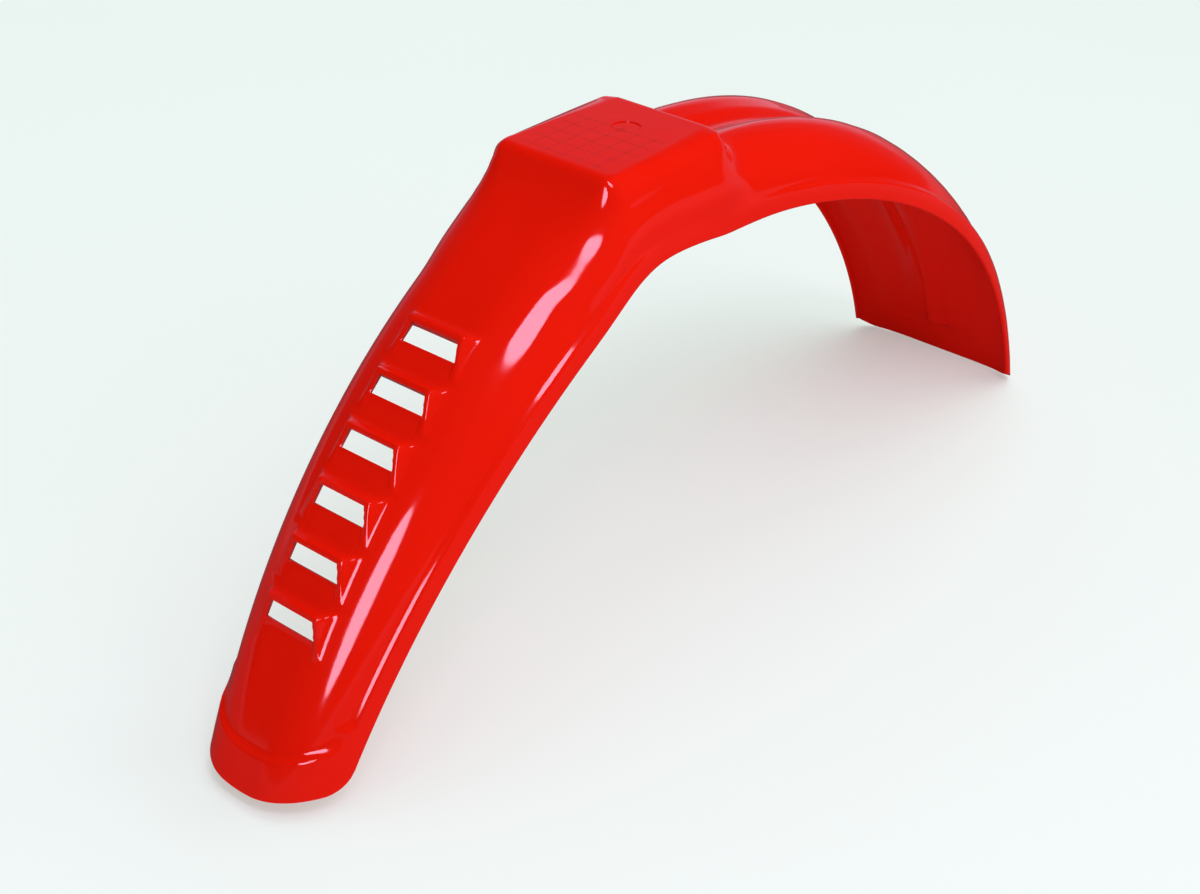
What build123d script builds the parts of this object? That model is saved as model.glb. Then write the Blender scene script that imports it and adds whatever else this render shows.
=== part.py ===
from build123d import *
from math import atan2, cos, degrees, pi, radians, sin, tan
import os

# Moulded wall of the whole shell
wall = 3.0

# Crown line seen from the side: tangent runs from the louvred tip to the plain end
rear_radius = 554.0
rear_lean_tip = 67.5
rear_lean_top = 33.0
hip_radius = 170.0
waist_start = -10.0
waist_drop = 18.0
front_start = 55.0
front_drop = 13.2
front_radius = 365.0
front_lean_end = 78.5

# Half-width of the lower edge and depth of the section below the crown
tip_half_width = 44.5
hip_half_width = 62.0
waist_half_width = 58.0
end_half_width = 67.5
front_bulge = 7.5
tip_depth = 31.0
hip_depth = 43.0
waist_depth = 38.0
front_depth = 49.0
end_depth = 17.0

# Flat middle of the crown as a share of the half-width
rear_flat = 0.24
front_flat = 0.35

# Sections that shape each run
rear_sections = 5
hip_sections = 4
front_sections = 7

# Stepped-out flange along both lower edges and round the tip, fading out at the waist
flange_step = 2.7
flange_band = 13.0
flange_fade = 0.3
tip_band = 25.0
tip_band_share = 1.06

# Rounded tip and squared plain end
tip_round = 27.0
tip_spare = 2.0
end_corner = 15.0

# Clamp box: the flat drilling face on top, its neck, and the foot where its walls blend into the shell
box_length = 104.0
box_width = 97.0
box_corner = 12.0
box_edge = 5.0
box_neck = 14.0
box_neck_share = 0.15
box_foot = 48.0
box_rear_flare = 32.0
box_front_flare = 12.0
box_side_flare = 6.0
box_foot_corner = 30.0
box_blend = 10.0

# Shallow round mark sunk into the drilling face
mark_forward = 15.0
mark_radius = 9.0
mark_depth = 0.6

# Groove along the crown of the front half: half-width of its floor, depth, turn of its wall and of its edge
groove_floor = 3.0
groove_depth = 10.0
groove_turn = 45.0
groove_edge_turn = 36.0
groove_end_gap = 24.0
groove_widening = 1.0

# Louvres on the rear half: raised scoops with the mouth towards the tip
louvre_count = 6
louvre_first_lean = 39.6
louvre_pitch = 3.58
louvre_half_width = 24.5
louvre_narrowing = 0.2
louvre_back = 18.0
louvre_toe = 4.0
louvre_gap = 11.3
louvre_height = 6.5
louvre_draft = 30.0

# Working lengths: run past both ends in degrees, sunk edge of the flange, clear reach of the cuts
overrun = 3.0
sink = 1.0
reach = 60.0


def ease(t):
    return (1 - cos(pi * t)) / 2


def blend(a, b, t):
    return a + (b - a) * t


def section_plane(center_x, center_z, radius, lean):
    # plane across the crown, normal along the crown towards the plain end
    s, c = sin(radians(lean)), cos(radians(lean))
    return Plane(origin=(center_x + radius * s, 0, center_z + radius * c), x_dir=(0, 1, 0), z_dir=(c, 0, -s))


def crown_plane(center_x, center_z, radius, lean):
    # plane lying on the crown, normal outwards
    across = section_plane(center_x, center_z, radius, lean)
    return Plane(origin=across.origin, x_dir=(0, 1, 0), z_dir=across.y_dir)


# Arc centres that follow from the tangent runs
hip_z = -waist_drop - hip_radius
rear_x = waist_start + (rear_radius - hip_radius) * sin(radians(rear_lean_top))
rear_z = hip_z - (rear_radius - hip_radius) * cos(radians(rear_lean_top))
front_z = -front_drop - front_radius


def rear_half_width(lean):
    t = max(rear_lean_tip - lean, 0.0) / (rear_lean_tip - rear_lean_top)
    return blend(tip_half_width, hip_half_width, sin(pi / 2 * t))


# Each run is a list of sections: plane, half-width, depth, flat share, flange step
rear_run, hip_run, front_run = [], [], []
for i in range(rear_sections):
    t = i / (rear_sections - 1)
    lean = blend(rear_lean_tip + overrun, rear_lean_top, t)
    rear_run.append((section_plane(rear_x, rear_z, rear_radius, -lean), rear_half_width(lean),
                     blend(tip_depth, hip_depth, t), rear_flat, flange_step))
for i in range(hip_sections):
    t = i / (hip_sections - 1)
    hip_run.append((section_plane(waist_start, hip_z, hip_radius, blend(-rear_lean_top, 0.0, t)),
                    blend(hip_half_width, waist_half_width, ease(t)), blend(hip_depth, waist_depth, ease(t)),
                    blend(rear_flat, front_flat, ease(t)), blend(flange_step, -sink, ease(t))))
for i in range(front_sections):
    t = i / (front_sections - 1)
    lean = blend(0.0, front_lean_end + overrun, t)
    swell = front_bulge * sin(pi * t) ** 2
    front_run.append((section_plane(front_start, front_z, front_radius, lean),
                      blend(waist_half_width, end_half_width, ease(t)) + swell,
                      blend(front_depth, end_depth, ease(t)), front_flat,
                      blend(-sink, flange_step, ease(min(t / flange_fade, 1.0)))))


def arch(inset, stepped, below):
    # solid under the skin: flat crown and elliptical shoulders on every section, lofted run by run
    with BuildPart() as body:
        for run in (rear_run, hip_run, hip_run[-1:] + front_run):
            for plane, half, depth, share, step in run:
                grow = (step if stepped else 0.0) - inset
                flat = share * half
                side, foot = half + grow - flat, sink - depth
                with BuildSketch(plane):
                    with BuildLine():
                        EllipticalCenterArc((flat, foot), side, grow - foot, start_angle=0, arc_size=90)
                        Line((flat, grow), (-flat, grow))
                        EllipticalCenterArc((-flat, foot), side, grow - foot, start_angle=90, arc_size=90)
                        Polyline((-flat - side, foot), (-flat - side, -depth - below),
                                 (flat + side, -depth - below), (flat + side, foot))
                    make_face()
            loft()
    return body.part


def clamp_box(inset):
    # drafted box with flared walls and rounded top edges
    with BuildPart() as body:
        for level, share in ((inset, 0.0), (box_neck, box_neck_share), (box_foot, 1.0)):
            rear = box_length / 2 + box_rear_flare * share - inset
            front = box_length / 2 + box_front_flare * share - inset
            corner = blend(box_corner, box_foot_corner, share) - inset
            with BuildSketch(Plane.XY.offset(-level)):
                with Locations(((front - rear) / 2, 0)):
                    RectangleRounded(front + rear, box_width + 2 * (box_side_flare * share - inset), corner)
        loft()
        fillet(body.faces().sort_by(Axis.Z)[-1].edges(), box_edge - inset)
    return body.part


def beyond_tip(shift, half):
    # everything past the half-ellipse that closes the shell at the tip, moved up-slope by the shift
    with BuildPart() as body:
        with BuildSketch(crown_plane(rear_x, rear_z, rear_radius, -rear_lean_tip)):
            with Locations((0, reach - shift - tip_round)):
                Rectangle(4 * reach, 2 * reach)
            with Locations((0, -shift - tip_round)):
                Ellipse(half, tip_round, mode=Mode.SUBTRACT)
        extrude(amount=2 * reach, both=True)
    return body.part


def beyond_end(half):
    # everything past the squared plain end with its rounded corners
    with BuildPart() as body:
        with BuildSketch(crown_plane(front_start, front_z, front_radius, front_lean_end)):
            with Locations((0, end_corner - reach)):
                Rectangle(4 * reach, 2 * reach)
            with Locations((0, reach)):
                RectangleRounded(2 * half, 2 * reach, end_corner, mode=Mode.SUBTRACT)
        extrude(amount=2 * reach, both=True)
    return body.part


def above_flange(drop):
    # the part of the shell the flange leaves free: above the band along the sides, up-slope of it at the tip
    rows = [plane.origin - plane.y_dir * (depth - flange_band + drop)
            for run in (rear_run, hip_run[1:], front_run)
            for plane, half, depth, share, step in run]
    with BuildPart() as body:
        with BuildSketch(Plane.XZ):
            with BuildLine():
                band = Spline([(p.X, p.Z) for p in rows])
                tip_x, end_x = (band @ 0).X - reach, (band @ 1).X + reach
                Polyline(band @ 1, (end_x, (band @ 1).Y), (end_x, reach),
                         (tip_x, reach), (tip_x, (band @ 0).Y), band @ 0)
            make_face()
        extrude(amount=2 * reach, both=True)
        add(beyond_tip(tip_band - drop, tip_band_share * tip_half_width + drop), mode=Mode.SUBTRACT)
    return body.part


def groove(inset):
    # soft-sided channel turned about the axis of the front arc, from the front wall of the box
    angle = front_lean_end - degrees((groove_end_gap - inset) / front_radius)
    lead = front_start - box_length / 2 - box_front_flare * box_neck_share + inset
    widen = groove_widening if inset > 0 else 0.0
    rest = groove_turn - groove_edge_turn
    bend = (groove_depth + sink) / (1 + cos(radians(rest)) - 2 * cos(radians(groove_turn)))
    with BuildPart() as body:
        with BuildSketch(front_run[0][0]) as channel:
            with BuildLine():
                hollow = JernArc((groove_floor + widen, -groove_depth - inset), (1, 0), bend, groove_turn)
                edge = JernArc(hollow @ 1, hollow % 1, bend, -groove_edge_turn)
                Polyline(edge @ 1, ((edge @ 1).X, reach / 4), (0, reach / 4), (0, (hollow @ 0).Y), hollow @ 0)
            make_face()
            mirror(about=Plane.YZ)
        revolve(axis=Axis((front_start, 0, front_z), (0, 1, 0)), revolution_arc=angle)
        extrude(channel.sketch, amount=-lead)
    return body.part


def louvre_seat(index):
    # plane on the crown at the lower edge of one opening, y towards the tip
    return crown_plane(rear_x, rear_z, rear_radius, -louvre_first_lean - louvre_pitch * index)


def louvre_wedge(index, inset, toe, root):
    # drafted block over one opening, from the root below the crown to above the lip
    spread = root * tan(radians(louvre_draft))
    step_in = inset / cos(radians(louvre_draft)) - spread
    back, side = louvre_back - step_in, louvre_half_width - louvre_narrowing * index - step_in
    with BuildPart() as body:
        with BuildSketch(louvre_seat(index).offset(-root)):
            with Locations((0, (toe + spread - back) / 2)):
                Rectangle(2 * side, back + toe + spread)
        extrude(amount=root + 2 * louvre_height, taper=louvre_draft)
    return body.part


def louvre_air(index, toe):
    # clear space through the shell and out of the scoop, square at its back
    seat = louvre_seat(index)
    square_back = Plane(origin=seat.origin - seat.y_dir * louvre_gap, x_dir=(0, 1, 0), z_dir=seat.y_dir)
    with BuildPart() as body:
        add(louvre_wedge(index, wall, toe, 3 * wall))
        split(bisect_by=square_back, keep=Keep.TOP)
    return body.part


def louvre_scoop(index):
    # back wall and end walls of one scoop, cut off along the sloping mouth
    seat = louvre_seat(index)
    mouth_run = louvre_back + louvre_toe - louvre_height * tan(radians(louvre_draft))
    tilt = atan2(louvre_height, mouth_run)
    mouth = Plane(origin=seat.origin + seat.y_dir * louvre_toe, x_dir=(0, 1, 0),
                  z_dir=seat.z_dir * cos(tilt) + seat.y_dir * sin(tilt))
    with BuildPart() as body:
        add(louvre_wedge(index, 0.0, 2 * louvre_toe, wall))
        add(louvre_air(index, reach / 3), mode=Mode.SUBTRACT)
        split(bisect_by=mouth, keep=Keep.BOTTOM)
    return body.part


def skin(inset, below):
    # the full form under the outer skin or, set in by the wall, its hollow: flange, arch, box, groove
    with BuildPart() as body:
        add(arch(inset, True, below))
        add(above_flange(inset / 2), mode=Mode.SUBTRACT)
        add(arch(inset, False, below))
        add(clamp_box(inset))
        fillet(body.edges(Select.NEW), box_blend + inset)
        add(groove(inset), mode=Mode.SUBTRACT)
    return body.part


# Shell with its scoops on, hollowed, its ends trimmed, the louvres opened and the mark sunk
tip_half = rear_half_width(rear_lean_tip - degrees(tip_round / rear_radius)) + flange_step + tip_spare
with BuildPart() as mudguard:
    add(skin(0.0, 0.0))
    for i in range(louvre_count):
        add(louvre_scoop(i))
    add(skin(wall, reach / 3), mode=Mode.SUBTRACT)
    add(beyond_tip(0.0, tip_half), mode=Mode.SUBTRACT)
    add(beyond_end(end_half_width + flange_step), mode=Mode.SUBTRACT)
    for i in range(louvre_count):
        add(louvre_air(i, 0.0), mode=Mode.SUBTRACT)
    with BuildSketch(Plane.XY):
        with Locations((mark_forward, 0)):
            Circle(mark_radius)
    extrude(amount=-mark_depth, mode=Mode.SUBTRACT)

os.makedirs("parts", exist_ok=True)
mudguard.part.label = "mudguard"
export_step(mudguard.part, "parts/mudguard.step")
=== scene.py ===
from collections import namedtuple
from math import cos, pi, radians, sin, tan

import bmesh
import bpy
import numpy as np
from mathutils import Matrix, Vector


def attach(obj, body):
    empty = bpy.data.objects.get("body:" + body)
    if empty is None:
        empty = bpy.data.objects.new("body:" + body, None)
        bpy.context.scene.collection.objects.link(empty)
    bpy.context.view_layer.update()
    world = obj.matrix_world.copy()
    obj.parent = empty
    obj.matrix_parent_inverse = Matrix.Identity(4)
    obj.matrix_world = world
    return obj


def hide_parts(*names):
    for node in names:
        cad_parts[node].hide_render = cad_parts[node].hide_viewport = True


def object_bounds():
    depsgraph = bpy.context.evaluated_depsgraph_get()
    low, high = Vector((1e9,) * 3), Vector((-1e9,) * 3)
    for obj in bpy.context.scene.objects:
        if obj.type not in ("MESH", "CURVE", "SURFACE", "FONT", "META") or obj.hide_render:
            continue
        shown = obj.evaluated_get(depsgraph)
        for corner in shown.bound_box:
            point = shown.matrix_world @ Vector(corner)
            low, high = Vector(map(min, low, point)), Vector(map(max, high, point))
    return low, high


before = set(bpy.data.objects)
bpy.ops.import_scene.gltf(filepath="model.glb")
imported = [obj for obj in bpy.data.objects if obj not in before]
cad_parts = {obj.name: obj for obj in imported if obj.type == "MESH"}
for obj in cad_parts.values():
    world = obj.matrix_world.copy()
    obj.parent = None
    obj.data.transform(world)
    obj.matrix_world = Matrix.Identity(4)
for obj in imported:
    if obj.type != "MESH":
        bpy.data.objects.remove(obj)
cad_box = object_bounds()

# Sizes as in the part's source, in millimetres and degrees: first the moulded wall
wall = 3.0

# Crown line seen from the side: runs from the louvred tip to the plain end
rear_radius = 554.0
rear_lean_tip = 67.5
rear_lean_top = 33.0
hip_radius = 170.0
waist_start = -10.0
waist_drop = 18.0
front_start = 55.0
front_drop = 13.2
front_radius = 365.0
front_lean_end = 78.5
overrun = 3.0

# Half-width of the lower edge and depth of the section below the crown
tip_half_width = 44.5
hip_half_width = 62.0
waist_half_width = 58.0
end_half_width = 67.5
front_bulge = 7.5
tip_depth = 31.0
hip_depth = 43.0
waist_depth = 38.0
front_depth = 49.0
end_depth = 17.0
sink = 1.0

# Flat middle of the crown as a share of the half-width
rear_flat = 0.24
front_flat = 0.35

# Stepped-out flange along both lower edges and round the tip, fading out at the waist
flange_step = 2.7
flange_band = 13.0
flange_fade = 0.3
tip_band = 25.0
tip_band_share = 1.06
tip_round = 27.0
tip_spare = 2.0

# Clamp box: the flat top, its neck, and the foot where its walls blend into the shell
box_length = 104.0
box_width = 97.0
box_corner = 12.0
box_edge = 5.0
box_neck = 14.0
box_neck_share = 0.15
box_foot = 48.0
box_rear_flare = 32.0
box_front_flare = 12.0
box_side_flare = 6.0
box_foot_corner = 30.0

# Shallow round mark sunk into the flat top
mark_forward = 15.0
mark_radius = 9.0
mark_depth = 0.6

# Groove along the crown of the front half: half-width of its floor, and its gap to the plain end
groove_floor = 3.0
groove_end_gap = 24.0

# Louvres on the rear half: raised scoops with the mouth towards the tip
louvre_count = 6
louvre_first_lean = 39.6
louvre_pitch = 3.58
louvre_half_width = 24.5
louvre_narrowing = 0.2
louvre_back = 18.0
louvre_toe = 4.0
louvre_gap = 11.3
louvre_height = 6.5
louvre_draft = 30.0

# Softer form that the scene adds: spread of an average along the crown, and the table that holds it
spread = 12.0
table_spacing = 1.0
table_beyond = 40.0

# Groove as a broad valley with a channel in it; it starts inside the box and runs out before its end
valley_half_width = 34.0
valley_depth = 6.0
channel_half_width = 13.0
channel_depth = 4.0
groove_start = 25.0
groove_run_out = 8.0

# Flange step: width of its slope, wider and rounded where the lines of the sides and of the tip meet,
# and a lift that takes the line of the tip clear of the sides past the tip
step_slope = 1.7
step_slope_more = 1.8
step_meeting = 14.0
step_corner = 8.0
step_clear = 40.0

# Box: softer long edges on top, which begin at the corners, and run-out of the flare below the foot
box_edge_more = 4.0
box_edge_turn = 10.0
box_run_out = 14.0

# Blend at the foot of the box: least size and growth, which sets in from the first to the second of each pair
blend_least = 12.0
blend_growth = 24.0
blend_rearward = (20.0, -45.0)
blend_sideward = (22.0, 42.0)
blend_below_top = (-1.0, -10.0)
blend_above_foot = (8.0, 32.0)

# Scoops: rounding of the back and of the upper edges, blend with the shell, mouth between the side walls
scoop_corner = 1.2
scoop_edge = 1.0
scoop_blend = 3.0
mouth_ahead = 0.3
mouth_side = (1.0, -0.5)

# Ends: rounding of the corners of the tip and of the plain end, lengths over which the rows are drawn in
tip_corner = 14.0
plain_end_corner = 10.0
tip_draw_in = 90.0
end_draw_in = 60.0

# Cuts: reach of a louvre's slot below and above the skin, reach and sides of the round mark
slot_below = 9.0
slot_above = 10.0
mark_above = 2.0
mark_sides = 64

# Drilling grid scribed into the flat top, drawn as flat strips of painted shade just above it: squares,
# lines, and the places of the first and last lines
grid_square = 12.7
grid_line = 0.35
grid_lift = 0.03
grid_front = 10.0
grid_cross_lines = 5
grid_long_lines = (-2, -1, 0, 1, 2)
grid_half_width = 34.0
grid_reach = (-45.0, 14.0)

# Centres of the crown's arcs, and distances along the crown from the tip
hip_z = -waist_drop - hip_radius
rear_x = waist_start + (rear_radius - hip_radius) * sin(radians(rear_lean_top))
rear_z = hip_z - (rear_radius - hip_radius) * cos(radians(rear_lean_top))
front_z = -front_drop - front_radius
rear_end = rear_radius * radians(rear_lean_tip - rear_lean_top)
hip_end = rear_end + hip_radius * radians(rear_lean_top)
waist_end = hip_end + front_start - waist_start
crown_end = waist_end + front_radius * radians(front_lean_end)

# Rows of the mesh along the crown: start of each stretch and spacing of the rows in it
row_stretches = [
    (0.0, 1.1),               # tip
    (70.0, 2.5),              # from the tip to the louvres
    (90.0, 1.4),              # louvres
    (291.0, 2.0),             # from the louvres to the hip
    (rear_end, 1.8),          # hip and box
    (waist_end - 9.0, 0.8),   # front wall of the box
    (waist_end + 16.0, 5.0),  # groove
    (crown_end - 30.0, 1.5),  # plain end
]

# Columns of the mesh on half a section: counts on the louvre tops, their sides, the wall, the ledge of the
# flange and the band below it, and the places of the louvre sides with the room they leave above the ledge
column_counts = (11, 15, 9, 8, 9)
louvre_side_from = 18.0
louvre_side_to = 26.5
ledge_room_from = 16.0
ledge_room_to = 8.0
ledge_reach = 3.5
curve_points = 200
curve_flat_share = 0.3
rim_points = 4

# Search along a ray: its range, the number of times it is halved, and values next to nothing and far away
ray_from = 2.0
ray_to = 150.0
halvings = 34
tiny = 1e-9
far_off = 1e3

# Millimetres in a metre, and the angle in degrees from which an edge is shaded sharp
per_metre = 1000
sharp_angle = 40.0

Section = namedtuple("Section", "x z lean half depth flat step")


def ease(t):
    return (1 - np.cos(pi * np.clip(t, 0, 1))) / 2


def blend(a, b, t):
    return a + (b - a) * t


def smooth(a, b, v):
    # 0 at a and 1 at b, level at both
    t = np.clip((v - a) / (b - a), 0, 1)
    return t * t * (3 - 2 * t)


def soft_min(a, b, size):
    # the lesser of two distances, rounded where they differ by less than the size
    near = np.maximum(size - np.abs(a - b), 0) / size
    return np.minimum(a, b) - near * near * size / 4


def softer_min(a, b, size):
    # as soft_min, with no jump of curvature where the rounding starts
    near = np.maximum(size - np.abs(a - b), 0) / size
    return np.minimum(a, b) - near ** 3 * size / 6


def soft_max(a, b, size):
    return -soft_min(-a, -b, size)


def round_corner(u, v, radius):
    # distance to two faces that meet in a round corner, with u and v counted from the corner's centre
    return np.hypot(np.maximum(u, 0), np.maximum(v, 0)) + np.minimum(np.maximum(u, v), 0) - radius


def corner_cut(past, radius):
    # how far a round corner cuts back at a distance past its start
    past = np.clip(past, 0, radius)
    return radius - np.sqrt(np.maximum(radius ** 2 - past ** 2, 0))


def drawn_sections(s):
    # crown point and section sizes at distances along the crown, run by run as drawn
    def by_run(rear, hip, waist, front):
        return np.where(s < rear_end, rear, np.where(s < hip_end, hip, np.where(s < waist_end, waist, front)))

    lean = by_run(np.degrees(s / rear_radius) - rear_lean_tip,
                  np.degrees((s - rear_end) / hip_radius) - rear_lean_top,
                  0.0,
                  np.degrees((s - waist_end) / front_radius))
    angle = np.radians(lean)
    past_tip = rear_lean_tip + overrun
    along_rear = np.clip((rear_lean_tip + lean) / (rear_lean_tip - rear_lean_top), 0, 1)
    along_hip = ease((rear_lean_top + lean) / rear_lean_top)
    along_waist = np.clip((s - hip_end) / (waist_end - hip_end), 0, 1)
    along_front = lean / (front_lean_end + overrun)
    x = by_run(rear_x + rear_radius * np.sin(angle),
               waist_start + hip_radius * np.sin(angle),
               blend(waist_start, front_start, along_waist),
               front_start + front_radius * np.sin(angle))
    z = by_run(rear_z + rear_radius * np.cos(angle),
               hip_z + hip_radius * np.cos(angle),
               -blend(waist_drop, front_drop, ease(along_waist)),
               front_z + front_radius * np.cos(angle))
    half = by_run(blend(tip_half_width, hip_half_width, np.sin(pi / 2 * along_rear)),
                  blend(hip_half_width, waist_half_width, along_hip),
                  waist_half_width,
                  blend(waist_half_width, end_half_width, ease(along_front))
                  + front_bulge * np.sin(pi * np.clip(along_front, 0, 1)) ** 2)
    depth = by_run(blend(tip_depth, hip_depth, (past_tip + lean) / (past_tip - rear_lean_top)),
                   blend(hip_depth, waist_depth, along_hip),
                   blend(waist_depth, front_depth, ease(along_waist)),
                   blend(front_depth, end_depth, ease(along_front)))
    flat = half * by_run(rear_flat, blend(rear_flat, front_flat, along_hip), front_flat, front_flat)
    step = by_run(flange_step,
                  flange_step * (1 - along_hip),
                  0.0,
                  flange_step * ease(along_front / flange_fade))
    return x, z, half, depth, flat, step


# The same values averaged along the crown, so that the runs pass into each other without a kink
table = np.arange(-table_beyond, crown_end + table_beyond, table_spacing)
offsets = np.arange(-3 * spread, 3 * spread + table_spacing, table_spacing)
weights = np.exp(-0.5 * (offsets / spread) ** 2)
soft_values = [np.convolve(v, weights / weights.sum(), "same") for v in drawn_sections(table)]
soft_lean = np.arctan2(-np.gradient(soft_values[1]), np.gradient(soft_values[0]))


def sections(s):
    # crown point, lean in radians and section sizes at distances along the crown
    x, z, half, depth, flat, step = [np.interp(s, table, v) for v in soft_values]
    return Section(x, z, np.interp(s, table, soft_lean), half, depth, flat, step)


def row_sections(s):
    return Section(*[v[:, None] for v in sections(s)])


# Tip of the crown, its direction in x and z, and the half-width that its rounded outline reaches
tip = sections(0.0)
tip_along = (cos(tip.lean), -sin(tip.lean))
tip_reach = float(sections(tip_round).half) + flange_step + tip_spare


def groove_dip(section, y):
    # depth of the groove below the crown of the front half
    valley = valley_depth * (1 - smooth(0, valley_half_width, np.abs(y)))
    channel = channel_depth * (1 - smooth(groove_floor, channel_half_width, np.abs(y)))
    to_end = (crown_end - waist_end - groove_end_gap) - front_radius * section.lean
    return (valley + channel) * (section.x > groove_start) * smooth(0, groove_run_out, to_end)


def arch_distance(section, y, n):
    # distance to the arch of a section: a flat crown with a quarter ellipse on either side
    foot = sink - section.depth
    side, rise = section.half - section.flat, -foot
    across = np.maximum(np.abs(y) - section.flat, 0)
    up = np.maximum(n - foot, 0)
    level = np.sqrt((across / side) ** 2 + (up / rise) ** 2) + tiny
    slope = np.sqrt((across / side ** 2) ** 2 + (up / rise ** 2) ** 2) / level + tiny
    return (level - 1) / slope


def flange_share(section, x, y, z, n):
    # share of the flange step: 1 below its line along the sides and round the tip, 0 above
    from_tip = (x - tip.x) * tip_along[0] + (z - tip.z) * tip_along[1]
    into_tip = np.minimum(from_tip - tip_band - tip_round, 0) / tip_round
    oval = np.sqrt((y / (tip_band_share * tip_half_width)) ** 2 + into_tip ** 2)
    past_tip = smooth(tip_band + tip_round, tip_band + 2 * tip_round, from_tip)
    tip_line = (1 - oval) * tip_round + step_clear * past_tip
    side_line = n + section.depth - flange_band
    slope = step_slope + step_slope_more * smooth(step_meeting, 0, np.abs(side_line - tip_line))
    return smooth(1, -1, soft_min(side_line, tip_line, step_corner) / slope)


def box_flare(below):
    # share of the flare of the box walls at a depth below the top: a parabola through neck and foot
    curve = (1 - box_neck_share * box_foot / box_neck) / (box_foot ** 2 - box_neck * box_foot)
    start = box_neck_share / box_neck - curve * box_neck
    past = np.clip(below - box_foot, 0, box_run_out)
    below = np.clip(below, 0, box_foot)
    run_out = (2 * curve * box_foot + start) * (past - past * past / (2 * box_run_out))
    return curve * below * below + start * below + run_out


def box_distance(x, y, z):
    # signed distance to the box with its flared walls
    flare = box_flare(-z)
    rear = box_length / 2 + box_rear_flare * flare
    front = box_length / 2 + box_front_flare * flare
    corner = blend(box_corner, box_foot_corner, flare)
    past_x = np.abs(x - (front - rear) / 2) - ((front + rear) / 2 - corner)
    past_y = np.abs(y) - (box_width / 2 + box_side_flare * flare - corner)
    walls = round_corner(past_x, past_y, corner)
    edge = box_edge + box_edge_more * smooth(-box_edge_turn, box_edge_turn, past_y - past_x)
    return round_corner(walls + edge, z + edge, edge)


def box_blend(x, y, z, height):
    # size of the blend at the foot of the box: wide to the rear and the sides, small near top and flange
    growth = blend_growth * np.maximum(smooth(*blend_rearward, x), smooth(*blend_sideward, np.abs(y)))
    return blend_least + growth * smooth(*blend_below_top, z) * smooth(*blend_above_foot, height)


def louvre_seat(i):
    # point of a louvre on the rear arc in x and z, with the directions along the crown and off it
    lean = -radians(louvre_first_lean + louvre_pitch * i)
    origin = np.array((rear_x + rear_radius * sin(lean), rear_z + rear_radius * cos(lean)))
    return origin, np.array((cos(lean), -sin(lean))), np.array((sin(lean), cos(lean)))


def scoop_distance(x, y, z):
    # signed distance to the nearest of the scoops over the louvres
    draft = radians(louvre_draft)
    lip = louvre_back - louvre_height * tan(draft)
    nearest = np.full(x.shape, far_off)
    for i in range(louvre_count):
        origin, along, off = louvre_seat(i)
        a = (x - origin[0]) * along[0] + (z - origin[1]) * along[1]
        n = (x - origin[0]) * off[0] + (z - origin[1]) * off[1]
        half = louvre_half_width - louvre_narrowing * i
        inner = half - wall / cos(draft) - n * tan(draft)
        start = -louvre_toe + (louvre_toe + mouth_ahead) * smooth(*mouth_side, np.abs(y) - inner)
        back = (a - louvre_back + n * tan(draft)) * cos(draft)
        side = (np.abs(y) - half + n * tan(draft)) * cos(draft)
        roof = n - (a - start) * louvre_height / (lip - start)
        scoop = soft_max(soft_max(back, side, scoop_corner), roof, scoop_edge)
        limits = np.maximum(-a - 2 * louvre_toe, -n - louvre_back)
        nearest = np.minimum(nearest, np.maximum(scoop, limits))
    return nearest


def shell_distance(section, y, n, scoops):
    # signed distance to the skin at a place across and off the crown of each section
    x = section.x + n * np.sin(section.lean)
    z = section.z + n * np.cos(section.lean)
    distance = arch_distance(section, y, n + groove_dip(section, y))
    distance = distance - section.step * flange_share(section, x, y, z, n)
    distance = softer_min(distance, box_distance(x, y, z), box_blend(x, y, z, n + section.depth))
    if scoops:
        distance = soft_min(distance, scoop_distance(x, y, z), scoop_blend)
    return distance


def cast(section, angles, level, scoops):
    # length of each ray from the foot centre of its section to the skin, or to a level below it
    near, far = np.full(angles.shape, ray_from), np.full(angles.shape, ray_to)
    for _ in range(halvings):
        middle = (near + far) / 2
        y, n = middle * np.sin(angles), sink - section.depth + middle * np.cos(angles)
        inside = shell_distance(section, y, n, scoops) < level
        near, far = np.where(inside, middle, near), np.where(inside, far, middle)
    return (near + far) / 2


def rows_along():
    # distances along the crown of the rows, closer together where the form turns quickly
    ends = [start for start, _ in row_stretches[1:]] + [crown_end]
    rows = []
    for (start, spacing), end in zip(row_stretches, ends):
        count = max(int(round((end - start) / spacing)), 1)
        rows += list(np.linspace(start, end, count, endpoint=False))
    return np.array(rows + [crown_end])


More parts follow.
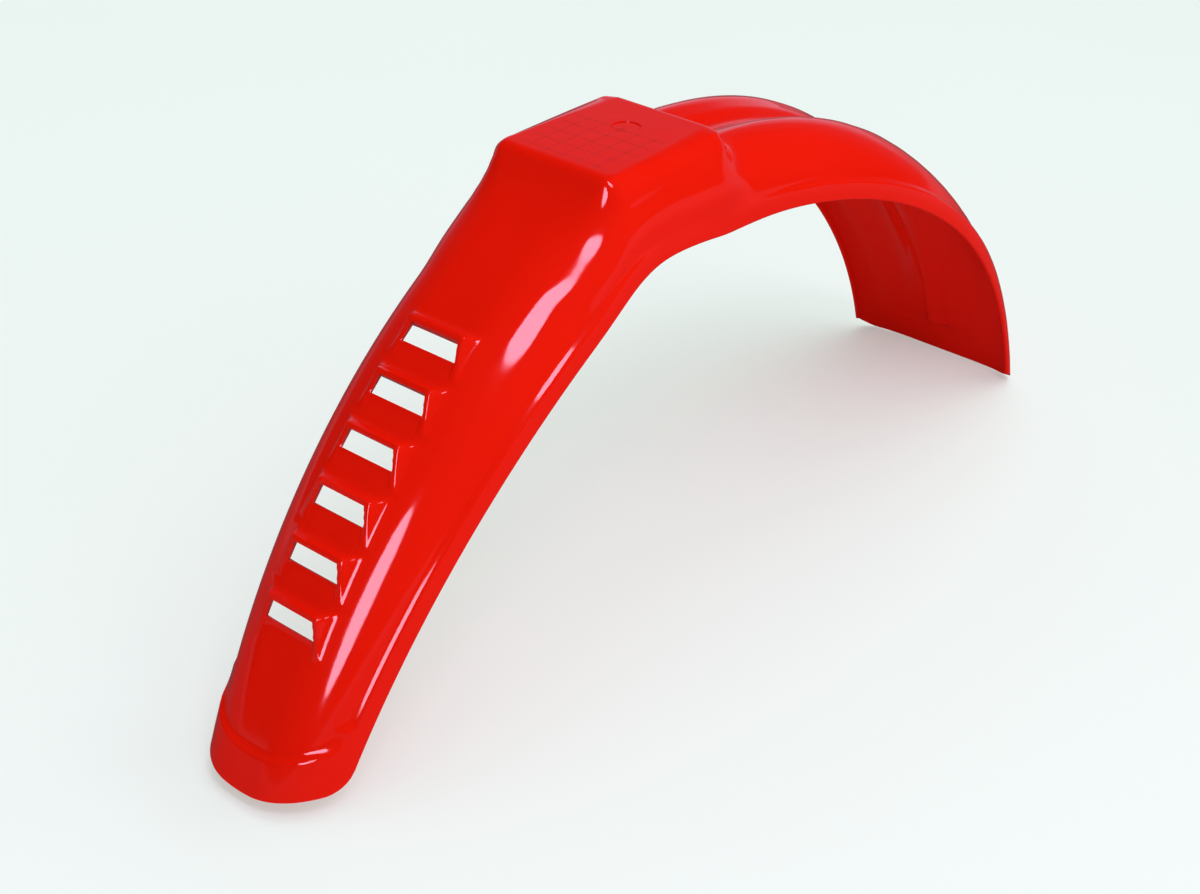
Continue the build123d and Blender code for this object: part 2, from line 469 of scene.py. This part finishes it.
def columns_across(s):
    # ray angles over the left half of each section, closest at the louvre sides and at the flange step
    section = row_sections(s)
    rise = section.depth - sink
    t = np.linspace(0, 1, curve_points)[None, :]
    turn = pi / 2 * (np.maximum(t, curve_flat_share) - curve_flat_share) / (1 - curve_flat_share)
    on_flat = t < curve_flat_share
    y = np.where(on_flat, section.flat * t / curve_flat_share,
                 section.flat + (section.half - section.flat) * np.sin(turn))
    n = np.where(on_flat, 0, rise * (np.cos(turn) - 1))
    steps = np.cumsum(np.hypot(np.diff(y), np.diff(n)), axis=1)
    runs = np.concatenate([np.zeros((len(s), 1)), steps], axis=1)
    tops, sides, walls, ledges, rims = column_counts
    angles = []
    for run, row_y, row_n, row_depth, row_rise in zip(runs, y, n, section.depth[:, 0], rise[:, 0]):
        ledge = np.interp(row_depth - flange_band, -row_n, run)
        side_from = min(np.interp(louvre_side_from, row_y, run), ledge - ledge_room_from)
        side_to = min(np.interp(louvre_side_to, row_y, run), ledge - ledge_room_to)
        past_ledge = run[-1] - ledge - ledge_reach
        knots = np.concatenate([
            np.linspace(0, side_from, tops),
            np.linspace(side_from, side_to, sides)[1:],
            np.linspace(side_to, ledge - ledge_reach, walls)[1:],
            np.linspace(ledge - ledge_reach, ledge + ledge_reach, ledges)[1:],
            run[-1] - past_ledge * np.linspace(1, 0, rims)[1:] ** 2])
        angles.append(np.arctan2(np.interp(knots, run, row_y), row_rise + np.interp(knots, run, row_n)))
    angles = np.array(angles)
    angles[:, -1] = pi / 2
    return angles


def drawn_in(s, angles):
    # distances along the crown of all grid points, with the rows drawn in to the outlines of both ends
    section = row_sections(s)
    rays = cast(section, angles, 0.0, False)
    across = np.clip(np.abs(rays * np.sin(angles)), 0, section.half + section.step)
    height = np.maximum(rays * np.cos(angles), 0)
    tip_cut = tip_round * (1 - np.sqrt(np.maximum(1 - (across / tip_reach) ** 2, 0)))
    tip_cut = tip_cut + corner_cut(tip_corner - height, tip_corner)
    end_cut = corner_cut(across - (end_half_width + flange_step - plain_end_corner), plain_end_corner)
    end_cut = end_cut + np.maximum(section.depth - sink - height, 0) / tan(radians(front_lean_end))
    near_tip = np.clip(1 - s[:, None] / tip_draw_in, 0, 1) ** 2
    near_end = np.clip(1 - (crown_end - s[:, None]) / end_draw_in, 0, 1) ** 2
    return s[:, None] + tip_cut * near_tip - end_cut * near_end


def place(section, y, n):
    # points at distances across and off the crown of each section
    return np.stack([section.x + n * np.sin(section.lean), y, section.z + n * np.cos(section.lean)], axis=-1)


def rim(section, outer, inner, column, side):
    # points round one lower edge: side 1 is the left, out to in, and -1 the right, in to out
    edge = Section(*[v[:, [column]] for v in section])
    middle = (outer[:, [column]] + inner[:, [column]]) / 2
    half = (outer[:, [column]] - inner[:, [column]]) / 2
    turns = np.linspace(0, pi, rim_points + 2)[1:-1][None, ::side]
    return place(edge, side * (middle + half * np.cos(turns)), sink - edge.depth - sink * np.sin(turns))


def skin_points():
    # outer skin, inner skin and both rims, row by row from the tip and from right to left
    s = rows_along()
    left = columns_across(s)
    angles = np.concatenate([-left[:, :0:-1], left], axis=1)
    section = sections(drawn_in(s, angles))
    outer = cast(section, angles, 0.0, True)
    inner = cast(section, angles, -wall, False)
    foot = sink - section.depth
    over = place(section, outer * np.sin(angles), foot + outer * np.cos(angles))
    under = place(section, inner * np.sin(angles), foot + inner * np.cos(angles))
    return over, under, rim(section, outer, inner, -1, 1), rim(section, outer, inner, 0, -1)


def ring_faces(rows, count):
    # faces between neighbouring rings of as many points
    faces = []
    for i in range(rows - 1):
        a, b = i * count, (i + 1) * count
        for j in range(count):
            k = (j + 1) % count
            faces.append((a + j, a + k, b + k, b + j))
    return faces


def end_faces(first, across, between):
    # strips from the outer to the inner skin across the ring that starts at first, and a face for each rim
    outer = [first + j for j in range(across)]
    left_rim = [first + across + j for j in range(rim_points)]
    inner = [first + 2 * across + rim_points - 1 - j for j in range(across)]
    right_rim = [first + 2 * across + rim_points + j for j in range(rim_points)]
    chains = [outer, *between, inner]
    faces = []
    for a, b in zip(chains, chains[1:]):
        faces += [(a[j], b[j], b[j + 1], a[j + 1]) for j in range(across - 1)]
    faces.append((*[c[-1] for c in chains], *left_rim[::-1]))
    faces.append((*[c[0] for c in chains[::-1]], *right_rim[::-1]))
    return faces


def new_mesh(name, points, faces):
    # mesh from points in millimetres
    mesh = bpy.data.meshes.new(name)
    mesh.from_pydata((np.array(points) / per_metre).tolist(), [], faces)
    return mesh


def skin_mesh(name):
    # closed shell: a ring of points in every row, and an end face at the tip and at the plain end
    over, under, left_rim, right_rim = skin_points()
    rings = np.concatenate([over, left_rim, under[:, ::-1], right_rim], axis=1)
    rows, count = rings.shape[:2]
    across = over.shape[1]
    points = list(rings.reshape(-1, 3))
    faces = ring_faces(rows, count)
    for row in (0, rows - 1):
        between = []
        for share in (0.25, 0.75):
            between.append([len(points) + j for j in range(across)])
            points += list(over[row] * (1 - share) + under[row] * share)
        strips = end_faces(row * count, across, between)
        faces += strips if row == 0 else [f[::-1] for f in strips]
    mesh = new_mesh(name, points, faces)
    mesh.validate()
    return mesh


def add_prism(points, faces, bottom, top):
    # closed prism between two loops of as many points
    first, count = len(points), len(bottom)
    points += bottom + top
    lower = [first + j for j in range(count)]
    upper = [first + count + j for j in range(count)]
    faces += [tuple(lower[::-1]), tuple(upper)]
    for j in range(count):
        k = (j + 1) % count
        faces.append((lower[j], lower[k], upper[k], upper[j]))


def cutter_mesh(name):
    # air through every louvre, and the sunk round mark
    points, faces = [], []
    draft = radians(louvre_draft)
    for i in range(louvre_count):
        origin, along, off = louvre_seat(i)
        side = louvre_half_width - louvre_narrowing * i - wall / cos(draft)
        loops = []
        for n in (-slot_below, slot_above):
            half = side - n * tan(draft)
            start = origin + off * n
            stop = origin + along * louvre_gap + off * n
            corners = ((start, -half), (stop, -half), (stop, half), (start, half))
            loops.append([(p[0], y, p[1]) for p, y in corners])
        add_prism(points, faces, *loops)
    turns = [2 * pi * k / mark_sides for k in range(mark_sides)]
    circle = [(mark_forward + mark_radius * cos(t), mark_radius * sin(t)) for t in turns]
    loops = [[(x, y, z) for x, y in circle] for z in (-mark_depth, mark_above)]
    add_prism(points, faces, *loops)
    return new_mesh(name, points, faces)


def outward(mesh):
    # turn all faces of a closed mesh outwards
    shape = bmesh.new()
    shape.from_mesh(mesh)
    bmesh.ops.recalc_face_normals(shape, faces=shape.faces)
    shape.to_mesh(mesh)
    shape.free()
    return mesh


def add_object(name, data):
    obj = bpy.data.objects.new(name, data)
    bpy.context.scene.collection.objects.link(obj)
    return obj


def moulded_shell():
    body = add_object("moulded_shell", outward(skin_mesh("shell")))
    tool = add_object("cut", outward(cutter_mesh("cut")))
    cut = body.modifiers.new("cut", "BOOLEAN")
    cut.operation, cut.solver, cut.object = "DIFFERENCE", "EXACT", tool
    bpy.context.view_layer.update()
    done = bpy.data.meshes.new_from_object(body.evaluated_get(bpy.context.evaluated_depsgraph_get()))
    body.modifiers.clear()
    body.data = done
    bpy.data.objects.remove(tool)
    done.name = "moulded_shell"
    done.shade_smooth()
    done.set_sharp_from_angle(angle=radians(sharp_angle))
    done.materials.clear()
    done.materials.append(red_plastic())
    return body


def drilling_grid():
    # fine scribed lines on the flat top, drawn as flat strips darkened with painted shade in place of sunk
    # grooves, first those across it and then those along it
    half = grid_line / 2
    across = [grid_front - grid_square * j for j in range(grid_cross_lines)]
    strips = [(x - half, x + half, -grid_half_width, grid_half_width) for x in across]
    strips += [(*grid_reach, grid_square * j - half, grid_square * j + half) for j in grid_long_lines]
    points, faces = [], []
    for x0, x1, y0, y1 in strips:
        faces.append(tuple(len(points) + j for j in range(4)))
        points += [(x0, y0, grid_lift), (x1, y0, grid_lift), (x1, y1, grid_lift), (x0, y1, grid_lift)]
    grid = add_object("drilling_grid", new_mesh("drilling_grid", points, faces))
    # painted shade: the flat strips are darkened to stand in for the shade inside scribed grooves
    grid.data.materials.append(groove_shade_line())
    return grid


# Shader nodes
def material(name):
    # a new material with its node tree, the inputs of its shader and the object's own coordinates
    new = bpy.data.materials.new(name)
    new.use_nodes = True
    tree = new.node_tree
    coords = tree.nodes.new("ShaderNodeTexCoord").outputs["Object"]
    return new, tree, tree.nodes["Principled BSDF"].inputs, coords


def noise(tree, coords, scale, detail):
    node = tree.nodes.new("ShaderNodeTexNoise")
    node.inputs["Scale"].default_value = scale
    node.inputs["Detail"].default_value = detail
    tree.links.new(coords, node.inputs["Vector"])
    return node.outputs["Fac"]


def mapped(tree, value, source, target):
    # a value carried from one range to another
    node = tree.nodes.new("ShaderNodeMapRange")
    node.inputs["From Min"].default_value, node.inputs["From Max"].default_value = source
    node.inputs["To Min"].default_value, node.inputs["To Max"].default_value = target
    tree.links.new(value, node.inputs["Value"])
    return node.outputs["Result"]


def ramp(tree, value, stops):
    # colours between stops of a value from 0 to 1
    node = tree.nodes.new("ShaderNodeValToRGB")
    elements = node.color_ramp.elements
    for at, _ in stops[1:-1]:
        elements.new(at)
    for element, (at, color) in zip(elements, stops):
        element.position, element.color = at, (*color, 1)
    tree.links.new(value, node.inputs["Fac"])
    return node.outputs["Color"]


def mix(tree, share, first, second):
    # from the first to the second as the share rises; each is a colour or the output of a node
    node = tree.nodes.new("ShaderNodeMix")
    node.data_type = "RGBA"
    tree.links.new(share, node.inputs["Factor"])
    for key, value in (("A", first), ("B", second)):
        if isinstance(value, tuple):
            node.inputs[key].default_value = (*value, 1)
        else:
            tree.links.new(value, node.inputs[key])
    return node.outputs["Result"]


# Materials
def red_plastic():
    # gloss red, with slight changes of tone and gloss and a faint waviness
    plastic, tree, shader, coords = material("red_plastic")
    tones = [(0.0, (0.79, 0.0075, 0.0012)), (1.0, (0.87, 0.0095, 0.0018))]
    tree.links.new(ramp(tree, noise(tree, coords, 9.0, 4.0), tones), shader["Base Color"])
    gloss = mapped(tree, noise(tree, coords, 40.0, 5.0), (0.0, 1.0), (0.05, 0.10))
    tree.links.new(gloss, shader["Roughness"])
    shader["IOR"].default_value = 1.49
    bump = tree.nodes.new("ShaderNodeBump")
    bump.inputs["Strength"].default_value = 0.03
    bump.inputs["Distance"].default_value = 0.002
    tree.links.new(noise(tree, coords, 55.0, 2.0), bump.inputs["Height"])
    tree.links.new(bump.outputs["Normal"], shader["Normal"])
    return plastic


def groove_shade_line():
    # the same plastic, darker as painted shade of the scribed grooves, and dull
    line, tree, shader, coords = material("groove_shade_line")
    tones = [(0.0, (0.45, 0.002, 0.003)), (1.0, (0.60, 0.003, 0.004))]
    tree.links.new(ramp(tree, noise(tree, coords, 120.0, 3.0), tones), shader["Base Color"])
    gloss = mapped(tree, noise(tree, coords, 200.0, 3.0), (0.0, 1.0), (0.3, 0.45))
    tree.links.new(gloss, shader["Roughness"])
    return line


def paper():
    # pale paper, lifted a little for the camera so that the shadow stays light, and dim in reflections
    sheet, tree, shader, coords = material("paper")
    path = tree.nodes.new("ShaderNodeLightPath").outputs
    away = tree.nodes.new("ShaderNodeVectorMath")
    away.operation = "LENGTH"
    tree.links.new(coords, away.inputs[0])
    tones = [(0.0, (0.58, 0.63, 0.605)), (1.0, (0.60, 0.65, 0.625))]
    seen = ramp(tree, noise(tree, coords, 2.0, 3.0), tones)
    lit = mix(tree, path["Is Camera Ray"], (0.82, 0.84, 0.83), seen)
    far = mapped(tree, away.outputs["Value"], (0.9, 2.0), (0.0, 1.0))
    mirrored = mix(tree, far, (0.08, 0.08, 0.09), (0.20, 0.19, 0.23))
    tree.links.new(mix(tree, path["Is Glossy Ray"], lit, mirrored), shader["Base Color"])
    shader["Roughness"].default_value = 0.9
    shader["Specular IOR Level"].default_value = 0.0
    shader["Emission Color"].default_value = (0.92, 1.0, 0.96, 1)
    lift = mapped(tree, path["Is Camera Ray"], (0.0, 1.0), (0.0, 0.34))
    tree.links.new(lift, shader["Emission Strength"])
    return sheet


shell = moulded_shell()
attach(shell, "root")
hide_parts("mudguard")

grid = drilling_grid()
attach(grid, "root")

# Floor, in metres
floor_half = 6.0
floor_z = cad_box[0][2]
corners = ((-1, -1), (1, -1), (1, 1), (-1, 1))
floor_mesh = bpy.data.meshes.new("floor")
floor_mesh.from_pydata([(x * floor_half, y * floor_half, floor_z) for x, y in corners], [], [(0, 1, 2, 3)])
floor_mesh.materials.append(paper())
floor = add_object("floor", floor_mesh)

# Soft studio light, in metres
lamp_centre = (-0.1, 0.0, -0.15)
lamp_distance = 2.0


def facing(tree, direction, stops):
    # colours by how far a direction of the sky turns towards the given one
    dot = tree.nodes.new("ShaderNodeVectorMath")
    dot.operation = "DOT_PRODUCT"
    dot.inputs[1].default_value = Vector(direction).normalized()
    tree.links.new(tree.nodes.new("ShaderNodeTexCoord").outputs["Generated"], dot.inputs[0])
    return ramp(tree, mapped(tree, dot.outputs["Value"], (-1.0, 1.0), (0.0, 1.0)), stops)


def studio_world():
    # one sky that lights, one that shows in reflections, and a plain pale one for the camera
    world = bpy.data.worlds.new("studio")
    bpy.context.scene.world = world
    world.use_nodes = True
    tree = world.node_tree
    path = tree.nodes.new("ShaderNodeLightPath").outputs
    soft = facing(tree, (0.60, -0.55, 0.58), [
        (0.0, (0.66, 0.68, 0.68)), (0.3, (0.46, 0.48, 0.48)),
        (0.5, (0.31, 0.32, 0.32)), (1.0, (1.40, 1.48, 1.46))])
    shine = facing(tree, (0.75, 0.62, -0.22), [
        (0.0, (0, 0, 0)), (0.66, (0, 0, 0)), (0.8, (0.02, 0.018, 0.026)),
        (0.9, (0.09, 0.08, 0.11)), (0.965, (0.42, 0.38, 0.50)), (1.0, (0.65, 0.60, 0.76))])
    sky = mix(tree, path["Is Glossy Ray"], soft, shine)
    background = tree.nodes["Background"].inputs
    background["Strength"].default_value = 1.0
    tree.links.new(mix(tree, path["Is Camera Ray"], sky, (0.83, 0.91, 0.875)), background["Color"])


def direction_of(az, el):
    # unit direction by azimuth and elevation in degrees
    az, el = radians(az), radians(el)
    return Vector((cos(el) * cos(az), cos(el) * sin(az), sin(el)))


def oval_lamp(name, direction, target, size, along, energy, color):
    # an oval area lamp that faces its target, with its first size lying along the given direction
    lamp = bpy.data.lights.new(name, "AREA")
    lamp.shape, lamp.size, lamp.size_y, lamp.energy, lamp.color = "ELLIPSE", *size, energy, color
    obj = add_object(name, lamp)
    at = Vector(lamp_centre) + lamp_distance * direction
    back = (at - Vector(target)).normalized()
    first = (Vector(along) - back * back.dot(Vector(along))).normalized()
    obj.matrix_world = Matrix.Translation(at) @ Matrix((first, back.cross(first), back)).transposed().to_4x4()
    return obj


studio_world()
tall_box = oval_lamp("tall_box", direction_of(-155, 20), target=(-0.25, -0.03, -0.2), size=(0.62, 1.05),
                     along=(0.42, -0.91, 0), energy=18, color=(1.0, 0.72, 1.0))
tall_box.visible_diffuse = False
oval_lamp("side_box", direction_of(-119, 54.5), target=(-0.08, -0.05, -0.05), size=(0.88, 0.34),
          along=(0.15, -0.48, -0.20), energy=9, color=(1.0, 0.70, 1.0))

# Camera at the photo's viewpoint: place in metres, turns in degrees, lens and sensor in millimetres
camera_place = (-0.8726, -0.7353, 0.4698)
camera_az = -139.73
camera_el = 30.93
camera_roll = -0.80
camera_lens = 62.46
camera_sensor = 36.0
roll = radians(camera_roll)
forward = -direction_of(camera_az, camera_el)
level_right = forward.cross(Vector((0, 0, 1))).normalized()
level_down = forward.cross(level_right)
right = level_right * cos(roll) + level_down * sin(roll)
down = level_down * cos(roll) - level_right * sin(roll)
camera = bpy.data.cameras.new("camera")
camera.sensor_fit, camera.sensor_width, camera.lens = "HORIZONTAL", camera_sensor, camera_lens
eye = add_object("camera", camera)
eye.matrix_world = Matrix.Translation(camera_place) @ Matrix((right, -down, -forward)).transposed().to_4x4()
bpy.context.scene.camera = eye
bpy.context.scene.view_settings.view_transform = "Standard"
